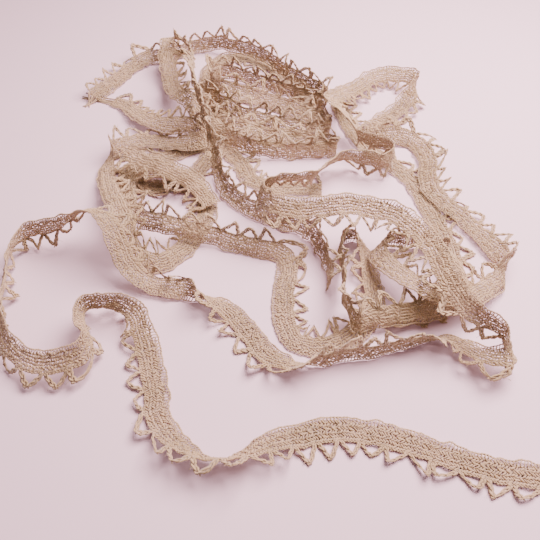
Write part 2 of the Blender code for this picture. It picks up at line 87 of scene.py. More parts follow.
lengthOneRuns = {
    "tail": (0, [
        (136, -118, 0, 0), (120, -116, 0, 0), (104, -114, 0, 0), (86, -109.5, 0, 0), (68, -102.5, 0, 0),
        (50, -96.5, 0, 0), (32, -94, 0, 0), (12, -97, 0, 0), (-2, -101, 25, -20), (-16, -107.5, 62, -50),
        (-30, -106.5, 60, -50), (-42, -99.5, 30, -20), (-51, -88, 5, 0), (-54, -74, 0, 0),
        (-58, -60, 0, 0), (-63, -45, -8, 0), (-69, -31, -35, 0), (-77, -23.5, -65, -40),
        (-88, -21.5, -85, -80), (-97, -22.5, -90, -70), (-100, -29, -80, -40), (-97, -38, -70, 0),
        (-92.5, -46, -75, 0),
    ]),
    "left loop": (0, [
        (-94, -54, -60, 0), (-104, -58.5, -45, 0), (-116, -58.5, -40, 0), (-127, -52, -45, 0),
        (-135.5, -41, -55, -20), (-141.5, -25, -65, -50), (-145, -8, -70, -60), (-147.5, 8, -70, -60),
        (-148, 20, -70, -60), (-143, 28.5, -85, -60), (-131, 30.5, -90, -60),
    ]),
    "swag": (12, [
        (-121, 34, -70, -20), (-113, 41, -45, 0), (-103, 41.5, -35, 0), (-95, 33, -25, 0),
        (-88, 20, -15, 0), (-80, 5, 0, 0), (-70, -7, 0, 40), (-57, -12.5, 10, 90), (-46, -13.5, 40, 80),
        (-37, -17, 100, 30), (-29, -22, 150, 0), (-20, -29, 175, 0), (-11, -41, 180, 0),
        (-3, -52, 180, 0), (5, -57.5, 165, 0), (15, -60, 125, 0),
    ]),
    "front edge": (10, [
        (26, -57.5, 90, 0), (39, -54.5, 90, 0), (52, -52.5, 90, 0), (66, -48.5, 95, 0),
        (79, -43.5, 105, 0), (91, -41.5, 140, 0), (101, -45, 165, 0), (110, -51, 180, 0),
    ]),
    "curl": (12, [
        (118, -53, 215, 0), (121, -45, 255, 0), (117, -37, 270, 0), (111, -30, 285, 0),
        (104, -21, 310, 0), (98, -8, 325, 0), (94, 8, 335, 0), (89, 24, 340, 0),
    ]),
    "wide run": (18, [
        (81, 36, 335, 0), (70, 44, 325, 0), (55, 48, 320, 0), (40, 49, 320, 0), (25, 48, 320, 0),
        (12, 48, 315, 0), (1, 51, 300, 0), (-5, 58, 290, 0), (-5, 67, 285, 0), (4, 73, 300, 0),
        (17, 72, 300, 0), (28, 76, 300, 0), (35, 86, 300, 0), (42, 95, 300, 0), (52, 98, 290, 0),
    ]),
    "inner ring": (11, [
        (63, 95, 270, 0), (74, 92, 270, 0), (82, 99, 270, 0), (81, 109, 265, 0), (72, 115, 260, 0),
        (62, 121, 250, 0), (58, 132, 235, 0), (53, 144, 220, 0), (47, 155, 210, 0), (47, 167, 205, 0),
        (55, 177, 205, 0), (67, 185, 210, 0),
    ]),
    "high arch": (4, [
        (79, 194, 215, 0), (92, 198, 220, 0), (104, 196, 225, 0), (111, 190, 250, 0), (109, 181, 290, 0),
        (104, 170, 320, 0), (97, 158, 340, 0), (89, 147, 350, 0),
    ]),
    "right arch": (6, [
        (79, 139, 360, 0), (72, 132, 380, 0), (73, 124, 400, 0), (84, 121, 405, 0), (95, 117, 400, 0),
        (102, 106, 385, 0), (104, 92, 380, 0), (101, 78, 375, 0),
    ]),
    "right strip": (6, [
        (101, 66, 370, 0), (107, 54, 365, 0), (114, 42, 360, 0), (121, 30, 360, 0), (127, 19, 375, 0),
        (131, 10, 410, 0), (131, 1, 455, 0), (125, -7, 505, 0), (117, -13, 530, 0), (108, -19, 540, 0),
        (98, -21, 540, 0), (87, -16, 545, 0), (76, -8, 545, 0), (66, 2, 525, 0), (61, 13, 490, 0),
    ]),
    "bulge": (5, [
        (67, 22, 460, 0), (79, 23, 455, 0), (92, 21, 465, 0), (102, 13, 480, 0), (106, 1, 500, 0),
        (104, -9, 515, 0), (98, -19, 520, 0),
    ]),
    "pocket": (4, [
        (90, -26, 505, 0), (79, -29, 495, 0), (66, -31, 490, 0), (54, -33, 480, 0), (45, -36, 465, 0),
        (41, -29, 450, 0), (40, -15, 450, 0), (40, 0, 450, 0), (39, 14, 450, 0), (42, 24, 450, 0),
        (49, 27, 460, 0), (54, 20, 480, 0), (55, 8, 500, 0), (56, -6, 520, 0),
    ]),
    "under": (2, [
        (56, -20, 530, 0), (50, -34, 530, 0), (38, -46, 530, 0), (24, -50, 530, 0), (13, -47, 535, 0),
        (8, -38, 540, 0), (7, -24, 540, 0), (8, -10, 540, 0), (10, 3, 530, 0),
    ]),
    "left cross": (4, [
        (6, 12, 500, 0), (-6, 15, 480, 0), (-21, 20, 480, 0), (-38, 27, 475, 0), (-56, 32, 475, 0),
        (-70, 35, 480, 0), (-81, 42, 500, 0), (-87, 54, 520, 0), (-90, 67, 535, 0), (-90, 79, 540, 0),
    ]),
    "left panel": (6, [
        (-83, 86, 540, 0), (-71, 83, 540, 0), (-59, 78, 540, 0), (-48, 70, 540, 0), (-40, 58, 540, 0),
    ]),
    "bowl": (2, [
        (-38, 45, 540, 0), (-42, 30, 530, 0), (-50, 15, 515, 0), (-61, 5, 505, 0), (-73, 8, 505, 0),
        (-81, 20, 515, 0),
    ]),
    "left side": (9, [
        (-86, 36, 530, 0), (-93, 50, 535, 0), (-100, 64, 540, 0), (-105, 79, 535, 0), (-107, 93, 500, 0),
        (-103, 106, 430, 0), (-92, 113, 380, 0), (-77, 114, 368, 0), (-63, 112, 375, 0),
    ]),
    "frayed end": (10, [
        (-50, 114, 405, 0), (-44, 123, 440, 0), (-52, 131, 470, 0), (-65, 133, 495, 0),
        (-76, 134, 512, 0), (-86, 138, 530, 0), (-97, 148, 540, 0), (-107, 158, 540, 0),
        (-115, 161, 540, 0),
    ]),
}
lengthTwoRuns = {
    "frayed end": (0, [
        (-131, 168, 40, 0), (-122, 181, 20, 0), (-113, 197, 10, 0), (-105, 212, 15, 0),
        (-97, 222, 40, 0), (-88, 224, 80, 0), (-78, 228, 90, 0), (-68, 235, 90, 0),
    ]),
    "ridge": (1, [
        (-58, 240, 90, 0), (-46, 243, 90, 0), (-32, 240, 90, 0), (-18, 235, 90, 0), (-6, 227, 90, 0),
        (5, 213, 90, 0), (14, 200, 90, 0), (24, 190, 90, 0), (34, 181, 90, 0), (42, 172, 90, 0),
        (42, 163, 90, 0),
    ]),
    "second ridge": (2, [
        (34, 161, 90, 0), (22, 169, 90, 0), (8, 178, 90, 0), (-8, 187, 90, 0), (-24, 196, 90, 0),
        (-37, 201, 90, 0), (-45, 195, 90, 0), (-42, 184, 75, 0),
    ]),
    "broad run": (3, [
        (-31, 177, 60, 0), (-17, 170, 50, 0), (-2, 162, 45, 0), (13, 154, 45, 0), (27, 145, 50, 0),
        (39, 137, 65, 0), (42, 128, 85, 0), (34, 124, 100, 0),
    ]),
    "lower run": (5, [
        (21, 128, 110, 0), (5, 133, 115, 0), (-11, 140, 115, 0), (-26, 150, 110, 0), (-38, 163, 100, 0),
        (-47, 170, 90, 0), (-52, 162, 85, 0),
    ]),
    "lowest run": (7, [
        (-44, 149, 70, 0), (-31, 136, 50, 0), (-16, 127, 40, 0), (0, 121, 35, 0), (16, 118, 40, 0),
        (31, 116, 55, 0), (43, 113, 75, 0), (45, 106, 90, 0),
    ]),
    "middle band": (8, [
        (36, 104, 95, 0), (23, 103, 100, 0), (9, 103, 100, 0), (-5, 105, 100, 0), (-19, 112, 105, 0),
        (-33, 123, 120, 0), (-46, 135, 140, 0), (-58, 147, 160, 0), (-68, 160, 175, 0),
        (-73, 176, 180, 0), (-77, 192, 180, 0), (-79, 206, 175, 0), (-75, 216, 160, 0),
        (-67, 217, 135, 0), (-61, 208, 110, 0),
    ]),
    "inner run": (14, [
        (-59, 193, 95, 0), (-56, 177, 90, 0), (-51, 161, 85, 0), (-46, 144, 80, 0), (-41, 127, 75, 0),
        (-37, 110, 70, 0),
    ]),
    "outer swag": (5, [
        (-34, 92, 65, 0), (-30, 75, 60, 0), (-21, 58, 60, 0), (-9, 47, 60, 0), (4, 41, 60, 0),
        (16, 36, 65, 0), (26, 27, 70, 0), (31, 15, 75, 0), (33, 1, 80, 0), (32, -11, 80, 0),
    ]),
}
lengthThreeRuns = {
    "low strip": (-1, [
        (49.6, 158.2, 0, 0), (53.8, 138.7, 0, 0), (58.6, 121.5, 0, 0), (65.3, 107.3, 0, 0),
        (74.5, 94.7, 0, 0), (85.2, 81.7, 0, 0), (93.1, 63.7, 0, 0), (97.4, 42.4, 0, 0),
        (101.3, 21.9, 0, 0), (102, 2.9, 0, 0), (96.7, -12.7, 5, 0), (86.2, -22.8, 8, 0),
        (72.1, -28.7, 8, 0), (58.1, -32.5, 8, 0),
    ]),
}
lengthFourRuns = {
    "low ladder": (-1, [
        (32.6, 65.5, 180, 0), (18.8, 66.4, 180, 0), (3.1, 67.4, 180, 0), (-11.5, 74.9, 180, 0),
        (-19.7, 91.7, 180, 0), (-30.9, 105.1, 180, 0), (-45.2, 108.3, 180, 0), (-58.9, 103, 180, 0),
        (-70.8, 96.8, 180, 0), (-82.4, 94.7, 180, 0), (-90.1, 84.7, 180, 0), (-82.3, 71.1, 180, 0),
        (-69.3, 68.3, 180, 0), (-56.1, 74.9, 180, 0), (-46.7, 84.7, 180, 0),
    ]),
    "low turn": (0, [
        (-40.5, 98.8, 180, 0), (-36.3, 118.2, 180, 0), (-41.2, 141.1, 180, 0), (-46.5, 165.8, 180, 0),
        (-47.8, 195.4, 180, 0), (-38.4, 221.5, 185, 0), (-18.4, 223, 185, 0), (1.6, 208.2, 185, 0),
        (19, 185.7, 185, 0), (31.5, 159.5, 185, 0), (36.6, 134, 185, 0),
    ]),
}
lengthFiveRuns = {
    "panel": (13, [
        (-97.6, 103, 200, 0), (-86, 96.8, 212, 0), (-74, 90.7, 218, 0), (-62.2, 84.7, 220, 0),
        (-51.2, 76.8, 215, 0), (-42, 65.5, 200, 0), (-36.2, 52.8, 190, 0),
    ]),
}


def smoothPath(rows, step):  # rows read from a smooth curve through them
    rows = np.array(rows, float)
    ends = np.vstack([2 * rows[0] - rows[1], rows, 2 * rows[-1] - rows[-2]])
    chords = np.linalg.norm(np.diff(ends[:, :2], axis=0), axis=1)
    dense = []
    for k in range(1, len(rows)):
        before, start, end, after = ends[k - 1 : k + 3]
        leave = (end - before) * chords[k] / (chords[k - 1] + chords[k])
        arrive = (after - start) * chords[k] / (chords[k] + chords[k + 1])
        for t in np.linspace(0, 1, heap["stepsPerRow"], endpoint=False):
            t2, t3 = t * t, t**3
            dense.append((2 * t3 - 3 * t2 + 1) * start + (t3 - 2 * t2 + t) * leave
                         + (3 * t2 - 2 * t3) * end + (t3 - t2) * arrive)
    dense = np.array(dense + [rows[-1]])
    return respace(dense, dense[:, :2], step)


def respace(values, points, step):  # the same line at even steps
    run = np.concatenate([[0], np.cumsum(np.linalg.norm(np.diff(points, axis=0), axis=1))])
    marks = np.linspace(0, run[-1], max(2, round(run[-1] / step) + 1))
    return np.column_stack([np.interp(marks, run, column) for column in values.T])


def layOut(runs):  # a length's rows at even steps: x, y, lean, fold and order of laying
    rows = []
    for order, table in runs.values():
        rows += [(x / 1000, y / 1000, math.radians(lean), math.radians(fold), order)
                 for x, y, lean, fold in table]
    path = smoothPath(rows, heap["step"])
    path[:, 4] = np.round(path[:, 4])
    return path


def sideways(points):  # to the left of the line, in plan
    along = np.gradient(points[:, :2], axis=0)
    along /= np.linalg.norm(along, axis=1)[:, None]
    return np.column_stack([-along[:, 1], along[:, 0], np.zeros(len(along))])


def across(lean, fold, offset):  # how far a place on the lace lies to the left and up
    body = np.minimum(offset, lace["bodyWidth"] / 2)
    picot = np.maximum(offset - lace["bodyWidth"] / 2, 0)
    left = body * np.cos(lean) + picot * np.cos(lean + fold)
    up = body * np.sin(lean) + picot * np.sin(lean + fold)
    return left, up


def alongSight(path, height):  # moved so that it is still seen at the same place
    share = height / heap["eyeHeight"]
    x = path[:, 0] * (1 - share)
    y = path[:, 1] - share * (path[:, 1] + heap["eyeBack"])
    return np.column_stack([x, y])


def soften(need, step):  # the lowest smooth line over the heights needed
    reach = np.arange(len(need)) * step
    drop = np.sqrt((heap["archSlope"] * reach) ** 2 + heap["archRadius"] ** 2) - heap["archRadius"]
    apart = np.abs(np.arange(len(need))[:, None] - np.arange(len(need))[None, :])
    line = (need[None, :] - drop[apart]).max(axis=1)
    for _ in range(heap["softenRounds"]):
        padded = np.pad(line, 2, mode="edge")
        mean = (padded[:-4] + padded[1:-3] + padded[2:-2] + padded[3:-1] + padded[4:]) / 5
        line = np.maximum(need, mean)
    return line


def restingPairs(places, sheet, order, station):  # places that lie over others laid before
    upper, lower = [], []
    for k in range(0, len(places), heap["placesAtOnce"]):
        block = slice(k, k + heap["placesAtOnce"])
        close = np.abs(places[block, None, 0] - places[None, :, 0]) < heap["reach"]
        close &= np.abs(places[block, None, 1] - places[None, :, 1]) < heap["reach"]
        close &= order[block, None] > order[None, :]
        near = np.abs(station[block, None] - station[None, :]) * heap["step"] < heap["ownStretch"]
        close &= ~((sheet[block, None] == sheet[None, :]) & near)
        rows, columns = np.nonzero(close)
        upper.append(rows + k)
        lower.append(columns)
    return np.concatenate(upper), np.concatenate(lower)


def lay(paths):  # each run rests on those before it
    thick = lace["thickness"]
    edge = lace["bodyWidth"] / 2
    offsets = np.linspace(-edge, edge + lace["picotDepth"], heap["placesAcross"])
    first = np.cumsum([0] + [len(path) for path in paths])
    count = first[-1]
    order = np.repeat(np.concatenate([path[:, 4] for path in paths]), len(offsets))
    sheet = np.concatenate([np.full(len(p) * len(offsets), k) for k, p in enumerate(paths)])
    station = np.concatenate([np.repeat(np.arange(len(p)), len(offsets)) for p in paths])
    owner = np.repeat(np.arange(count), len(offsets))
    height = np.full(count, thick / 2)
    seen = height
    for _ in range(heap["sightRounds"]):
        seen = (seen + height) / 2
        plans = [alongSight(p, seen[a:b]) for p, a, b in zip(paths, first, first[1:])]
        places, ups = [], []
        for path, plan in zip(paths, plans):
            left, up = across(path[:, 2, None], path[:, 3, None], offsets[None, :])
            places.append(plan[:, None, :] + left[:, :, None] * sideways(plan)[:, None, :2])
            ups.append(up)
        places = np.concatenate([p.reshape(-1, 2) for p in places])
        ups = np.concatenate([u.ravel() for u in ups])
        floor = thick / 2 - ups.reshape(count, -1).min(axis=1)
        upper, lower = restingPairs(places, sheet, order, station)
        climb = ups[lower] - ups[upper] + thick + heap["gap"]
        height = floor.copy()
        for _ in range(heap["layRounds"]):
            need = floor.copy()
            np.maximum.at(need, owner[upper], height[owner[lower]] + climb)
            new = np.concatenate([soften(need[a:b], heap["step"]) for a, b in zip(first, first[1:])])
            new = np.minimum(new, heap["mostHeight"])
            settled = np.abs(new - height).max() < heap["still"]
            height = new
            if settled:
                break
    return plans, [height[a:b] for a, b in zip(first, first[1:])]


def guideRows(path, plan, height):  # the middle of the body along a length, and its repeats
    rows = np.column_stack([plan, height, path[:, 2:4]])
    run = np.linalg.norm(np.diff(rows[:, :3], axis=0), axis=1).sum()
    repeats = round(run / lace["pitch"])
    return respace(rows, rows[:, :3], run / (repeats * heap["stationsPerRepeat"])), repeats


def addNode(tree, kind, feeds=None, **settings):  # a node, its settings and what feeds its sockets
    node = tree.nodes.new(kind)
    for name, value in settings.items():
        setattr(node, name, value)
    for socket, source in (feeds or {}).items():
        if isinstance(source, bpy.types.NodeSocket):
            tree.links.new(source, node.inputs[socket])
        else:
            node.inputs[socket].default_value = source
    return node


# One repeat of the lace laid flat: u along, v across from the firm edge to the tips, w up.
threads = {  # millimetres
    "sides": 3,
    "edgeCord": (-5.6, 1.05),  # its place across and its thickness
    "rootCord": (5.3, 0.95),
    "plyShare": 0.62,  # of a cord's thickness
    "plyTwist": (0.26, 0.2),  # how far a ply swings across and up
    "plyTurns": 4,
    "cloth": (-4.7, 5.0),
    "edgeOpens": 0.45,  # share of a repeat's opening that the cord and the cloth give way
    "clothOpens": 0.9,
    "columns": 6,  # of slanted stitches, each column leaning against the next
    "stitches": 8,  # in a column, a repeat
    "slant": 1.9,
    "stitchThick": 0.88,
    "stitchReach": 0.66,  # of a column's width, to either side
    "stitchFull": (0.27, 0.73),  # full thickness between these shares of its length
    "crown": 0.14,  # a stitch's middle stands this high above its ends
    "jitter": 0.34,
    "warps": 6,  # threads that run on through the stitches
    "warpThick": 1.1,
    "warpFlat": 0.32,
    "warpSway": (0.3, 0.2),
    "bars": 7,
    "barThick": 0.6,
    "legSpread": 0.45,  # of the pitch, from a picot's middle to its foot
    "legGap": 0.42,
    "legBend": 1.05,
    "legNormal": (0.83, 0.56),
    "strandThick": 1.08,
    "plaitTurns": 0.9,
    "plaitSway": 0.78,
    "plaitRise": 0.36,
    "tuftThick": 0.45,
    "tuftShare": 1.4,
    "strayThick": 0.16,
    "frayThick": 0.8,
    "seed": 11,
}
kinds = (  # plain, open and loose repeats, millimetres
    {"open": 0.0, "lean": 0.0, "reach": 8.4, "belly": -0.15, "loose": 0.4},
    {"open": 1.5, "lean": 1.6, "reach": 7.4, "belly": 0.7, "loose": 0.7},
    {"open": 0.5, "lean": -1.9, "reach": 8.8, "belly": -0.3, "loose": 1.0},
)


def addThread(shape, points, thick, flat=1.0):  # along points in millimetres
    points = np.array(points, float)
    along = np.gradient(points, axis=0)
    along /= np.linalg.norm(along, axis=1)[:, None]
    side = np.cross(along, (0.0, 0.0, 1.0))
    side /= np.maximum(np.linalg.norm(side, axis=1), 1e-9)[:, None]
    up = np.cross(side, along)
    rings = []
    for k, point in enumerate(points):
        ring = []
        for turn in range(threads["sides"]):
            angle = 2 * math.pi * (turn + 0.25) / threads["sides"]
            place = point + thick / 2 * (math.cos(angle) * side[k] + flat * math.sin(angle) * up[k])
            ring.append(shape.verts.new(place / 1000))
        rings.append(ring)
    for before, after in zip(rings, rings[1:]):
        for turn in range(threads["sides"]):
            following = (turn + 1) % threads["sides"]
            shape.faces.new((before[turn], before[following], after[following], after[turn]))


def addStitch(shape, start, end, thick, crown):  # one short fat thread that dips under at both ends
    start, end = np.array(start, float), np.array(end, float)
    along = (end - start) / np.linalg.norm(end - start)
    side = np.cross(along, (0.0, 0.0, 1.0))
    tips = [shape.verts.new(place / 1000) for place in (start, end)]
    rings = []
    for share in threads["stitchFull"]:
        middle = start + share * (end - start) + np.array((0.0, 0.0, crown))
        ring = []
        for turn in range(4):
            angle = math.pi * turn / 2
            place = middle + thick / 2 * (math.cos(angle) * side + math.sin(angle) * np.array((0, 0, 1)))
            ring.append(shape.verts.new(place / 1000))
        rings.append(ring)
    for turn in range(4):
        following = (turn + 1) % 4
        shape.faces.new((tips[0], rings[0][following], rings[0][turn]))
        shape.faces.new((rings[0][turn], rings[0][following], rings[1][following], rings[1][turn]))
        shape.faces.new((rings[1][turn], rings[1][following], tips[1]))


def laceRepeat(name, pitch, kind, chance):  # pitch in millimetres
    shape = bmesh.new()
    low, high = threads["cloth"]

    def opening(u):  # the firm edge stands away from the cloth in the middle of a repeat
        return kind["open"] * math.sin(math.pi * min(max(u / pitch, 0), 1)) ** 2

    swing, rise = threads["plyTwist"]
    for title, share in (("edgeCord", threads["edgeOpens"]), ("rootCord", 0.0)):
        v, thick = threads[title]
        for ply in (0, math.pi):  # two plies twisted together
            line = []
            for u in np.linspace(0, pitch, 4 * threads["plyTurns"] + 1):
                angle = 2 * threads["plyTurns"] * math.pi * u / pitch + ply
                line.append((u, v - share * opening(u) + swing * math.sin(angle), rise * math.cos(angle)))
            addThread(shape, line, thick * threads["plyShare"])
    width = (high - low) / threads["columns"]
    for column in range(threads["columns"]):
        middle = low + (column + 0.5) * width
        way = 1 if column % 2 else -1
        for stitch in range(threads["stitches"]):
            u = pitch * (stitch + 0.5 * (column % 2) + 0.25) / threads["stitches"]
            gap = opening(u) * threads["clothOpens"]
            if middle < low + gap:
                continue
            shift = [chance.uniform(-1, 1) * threads["jitter"] for _ in range(3)]
            reach = threads["stitchReach"] * width
            start = (u - way * threads["slant"] / 2 + shift[0], middle - reach, shift[2])
            end = (u + way * threads["slant"] / 2 + shift[1], middle + reach, shift[2])
            addStitch(shape, start, end, threads["stitchThick"] * (1 + shift[1]), threads["crown"])
    for k in range(threads["warps"]):
        v = low + (k + 1) * (high - low) / (threads["warps"] + 0.5)
        start = chance.uniform(0, 6)
        swing, rise = threads["warpSway"]
        line = []
        for u in np.linspace(0, pitch, 6):
            middle = max(v, low + opening(u) * threads["clothOpens"])
            line.append((u, middle + swing * math.sin(start + 2 * math.pi * u / pitch),
                         rise * math.sin(start + 4 * math.pi * u / pitch)))
        line[-1] = (pitch, line[0][1], line[0][2])
        addThread(shape, line, threads["warpThick"], flat=threads["warpFlat"])
    for k in range(threads["bars"]):
        u = (k + 0.3) * pitch / threads["bars"]
        near = threads["edgeCord"][0] - threads["edgeOpens"] * opening(u)
        far = low + 0.4 + opening(u) * threads["clothOpens"]
        addThread(shape, [(u - 0.2, near, 0.15), (u + 0.2, (near + far) / 2, 0.3), (u + 0.55, far, 0.1)],
                  threads["barThick"])
        u += 0.4
        near, far = high - 0.5, threads["rootCord"][0]
        addThread(shape, [(u, near, 0.2), (u - 0.5, far + 0.2, 0.35)], threads["barThick"])
    foot, tip = threads["rootCord"][0] - 0.1, threads["rootCord"][0] + kind["reach"]
    asideU, asideV = threads["legNormal"]
    for strand in range(3):
        path = []
        for t in np.linspace(0, 1, 15):
            share = 1 - abs(2 * t - 1)
            theta = 2 * math.pi * (threads["plaitTurns"] * 2 * t + strand / 3)
            side = -1 if t < 0.5 else 1
            u = pitch / 2 + side * pitch * threads["legSpread"] * (1 - share)
            u += side * kind["belly"] * math.sin(math.pi * share)
            u += kind["lean"] * share + side * threads["legGap"] * share
            v = foot + (tip - foot - 0.5) * (1 - (1 - share) ** threads["legBend"])
            sway = threads["plaitSway"] * math.sin(theta)
            rise = threads["plaitRise"] * math.sin(2 * theta)
            path.append((u + side * asideU * sway, v + asideV * sway, rise))
        addThread(shape, path, threads["strandThick"])
    tipU = pitch / 2 + kind["lean"]
    for side in (-1, 1):  # a tuft where the plait turns
        tuft = [(tipU - side * 0.5, tip - 0.9, 0.2), (tipU + side * 0.15, tip - 0.3, 0.3 * side),
                (tipU + side * 0.5, tip + 0.1 + 0.5 * kind["loose"], 0.4 * side)]
        addThread(shape, tuft, threads["tuftThick"] * threads["tuftShare"])
    for _ in range(round(3 * kind["loose"])):  # stray fibres
        u, v = chance.uniform(0.1, 0.9) * pitch, chance.choice((low - 1.0, high, tip - 1.5))
        turn = chance.uniform(0, 2 * math.pi)
        stray = [(u + r * math.cos(turn + 0.5 * r), v + r * math.sin(turn + 0.5 * r), 0.3 + 0.25 * r)
                 for r in (0, 0.8, 1.6, 2.2)]
        addThread(shape, stray, threads["strayThick"])
    mesh = bpy.data.meshes.new(name)
    shape.to_mesh(mesh)
    shape.free()
    obj = bpy.data.objects.new(name, mesh)
    bpy.context.scene.collection.objects.link(obj)
    return obj


wear = {  # how the repeats are bent along a guide
    "sway": 0.0006,  # the lace wavers across and up, in metres
    "curl": 0.0036,  # the picots' tips curl up or down
    "slip": 0.0029,  # and slip along the lace
    "shrink": 0.2,  # some picots are shorter than others
    "cup": 0.0016,  # the body bows across its width
    "cupMiddle": 0.42,  # it bows more often up than down
    "waves": 90.0,  # how close the wavering is, to the metre
    "ruffles": 320.0,
    "weld": 0.00001,
    "lowest": 0.0009,  # a thread's middle stays this high above the table
    "rougher": {"backRidge": 1.3, "innerFolds": 1.6, "lowLadder": 1.5, "rightSide": 1.2},
    "seed": 4,
}


def laceTree():
    tree = bpy.data.node_groups.new("laceAlongGuide", "GeometryNodeTree")
    sockets = [("Guide", "INPUT", "NodeSocketGeometry"), ("Plain repeat", "INPUT", "NodeSocketObject"),
               ("Open repeat", "INPUT", "NodeSocketObject"), ("Loose repeat", "INPUT", "NodeSocketObject"),
               ("Pitch", "INPUT", "NodeSocketFloat"), ("First", "INPUT", "NodeSocketInt"),
               ("Repeats", "INPUT", "NodeSocketInt"), ("Body edge", "INPUT", "NodeSocketFloat"),
               ("Picot depth", "INPUT", "NodeSocketFloat"), ("Sway", "INPUT", "NodeSocketFloat"),
               ("Curl", "INPUT", "NodeSocketFloat"), ("Slip", "INPUT", "NodeSocketFloat"),
               ("Shrink", "INPUT", "NodeSocketFloat"), ("Cup", "INPUT", "NodeSocketFloat"),
               ("Lowest", "INPUT", "NodeSocketFloat"), ("Seed", "INPUT", "NodeSocketInt"),
               ("Cotton", "INPUT", "NodeSocketMaterial"), ("Lace", "OUTPUT", "NodeSocketGeometry")]
    for name, side, kind in sockets:
        tree.interface.new_socket(name, in_out=side, socket_type=kind)
    given = addNode(tree, "NodeGroupInput").outputs

    def calc(a, b, operation="ADD"):
        return addNode(tree, "ShaderNodeMath", {0: a, 1: b}, operation=operation).outputs[0]

    def added(a, b):
        return addNode(tree, "ShaderNodeVectorMath", {0: a, 1: b}, operation="ADD").outputs[0]

    def scaled(a, amount):
        return addNode(tree, "ShaderNodeVectorMath", {0: a, "Scale": amount}, operation="SCALE").outputs[0]

    curve = addNode(tree, "GeometryNodeMeshToCurve", {0: given["Guide"]}).outputs[0]
    start = addNode(tree, "ShaderNodeCombineXYZ", {0: calc(given["Pitch"], given["First"], "MULTIPLY")})
    offset = addNode(tree, "ShaderNodeCombineXYZ", {0: given["Pitch"]})
    line = addNode(tree, "GeometryNodeMeshLine",
                   {"Count": given["Repeats"], "Start Location": start.outputs[0],
                    "Offset": offset.outputs[0]}, mode="OFFSET")
    units = addNode(tree, "GeometryNodeJoinGeometry")
    for title in ("Plain repeat", "Open repeat", "Loose repeat"):
        unit = addNode(tree, "GeometryNodeObjectInfo", {"Object": given[title], "As Instance": True})
        tree.links.new(unit.outputs["Geometry"], units.inputs[0])
    which = addNode(tree, "FunctionNodeRandomValue", {"Seed": given["Seed"], "Min": 0, "Max": 2},
                    data_type="INT")
    copies = addNode(tree, "GeometryNodeInstanceOnPoints",
                     {"Points": line.outputs[0], "Instance": units.outputs[0], "Pick Instance": True,
                      "Instance Index": which.outputs[2]})
    chance = addNode(tree, "FunctionNodeRandomValue", {"Seed": given["Seed"], 0: (-1, -1, -1), 1: (1, 1, 1)},
                     data_type="FLOAT_VECTOR")
    marked = addNode(tree, "GeometryNodeStoreNamedAttribute",
                     {"Geometry": copies.outputs[0], "Name": "chance", "Value": chance.outputs[0]},
                     data_type="FLOAT_VECTOR", domain="INSTANCE")
    real = addNode(tree, "GeometryNodeRealizeInstances", {0: marked.outputs[0]})

    position = addNode(tree, "GeometryNodeInputPosition")
    u, v, w = addNode(tree, "ShaderNodeSeparateXYZ", {0: position.outputs[0]}).outputs
    luck = addNode(tree, "ShaderNodeSeparateXYZ", {0: addNode(
        tree, "GeometryNodeInputNamedAttribute", {"Name": "chance"}, data_type="FLOAT_VECTOR").outputs[0]})
    past = calc(calc(v, given["Body edge"], "SUBTRACT"), 0.0, "MAXIMUM")
    share = calc(past, given["Picot depth"], "DIVIDE")
    drift = addNode(tree, "ShaderNodeSeparateXYZ", {0: addNode(
        tree, "ShaderNodeTexNoise", {"Vector": addNode(tree, "ShaderNodeCombineXYZ", {0: u}).outputs[0],
                                     "Scale": wear["waves"], "Detail": 2.0}).outputs["Color"]})
    alongU = calc(u, calc(calc(luck.outputs[0], share, "MULTIPLY"), given["Slip"], "MULTIPLY"))
    ruffled = addNode(tree, "ShaderNodeCombineXYZ", {0: u, 1: calc(v, 0.25, "MULTIPLY")})
    ruffle = addNode(tree, "ShaderNodeTexNoise",
                     {"Vector": ruffled.outputs[0], "Scale": wear["ruffles"], "Detail": 1.0})
    acrossV = v
    for noise, amount in ((drift, 4.0), (ruffle, 3.5)):
        wave = calc(noise.outputs[0], 0.5, "SUBTRACT")
        acrossV = calc(acrossV, calc(wave, calc(given["Sway"], amount, "MULTIPLY"), "MULTIPLY"))
    shorter = calc(calc(calc(luck.outputs[1], 1.0), given["Shrink"], "MULTIPLY"), past, "MULTIPLY")
    acrossV = calc(acrossV, shorter, "SUBTRACT")
    edgeSquare = calc(given["Body edge"], given["Body edge"], "MULTIPLY")
    bow = calc(calc(calc(v, v, "MULTIPLY"), edgeSquare, "DIVIDE"), 1.0, "MINIMUM")
    cupped = calc(calc(drift.outputs[2], wear["cupMiddle"], "SUBTRACT"), 4.0, "MULTIPLY")
    bow = calc(calc(bow, given["Cup"], "MULTIPLY"), cupped, "MULTIPLY")
    lift = calc(calc(luck.outputs[2], calc(share, share, "MULTIPLY"), "MULTIPLY"), given["Curl"], "MULTIPLY")
    wave = calc(calc(drift.outputs[1], 0.5, "SUBTRACT"), calc(given["Sway"], 3.0, "MULTIPLY"), "MULTIPLY")
    aboveW = calc(calc(calc(w, lift), bow), wave)
    sampled = {}
    for name in ("bodyAcross", "bodyUp", "picotAcross", "picotUp"):
        value = addNode(tree, "GeometryNodeInputNamedAttribute", {"Name": name}, data_type="FLOAT_VECTOR")
        sampled[name] = addNode(tree, "GeometryNodeSampleCurve",
                                {"Curves": curve, "Value": value.outputs[0], "Length": alongU},
                                data_type="FLOAT_VECTOR", mode="LENGTH")
    body = calc(acrossV, given["Body edge"], "MINIMUM")
    picot = calc(calc(acrossV, given["Body edge"], "SUBTRACT"), 0.0, "MAXIMUM")
    bend = addNode(tree, "ShaderNodeMix", {"Factor": share, "A": sampled["bodyUp"].outputs["Value"],
                                           "B": sampled["picotUp"].outputs["Value"]}, data_type="VECTOR")
    place = added(sampled["bodyAcross"].outputs["Position"],
                  scaled(sampled["bodyAcross"].outputs["Value"], body))
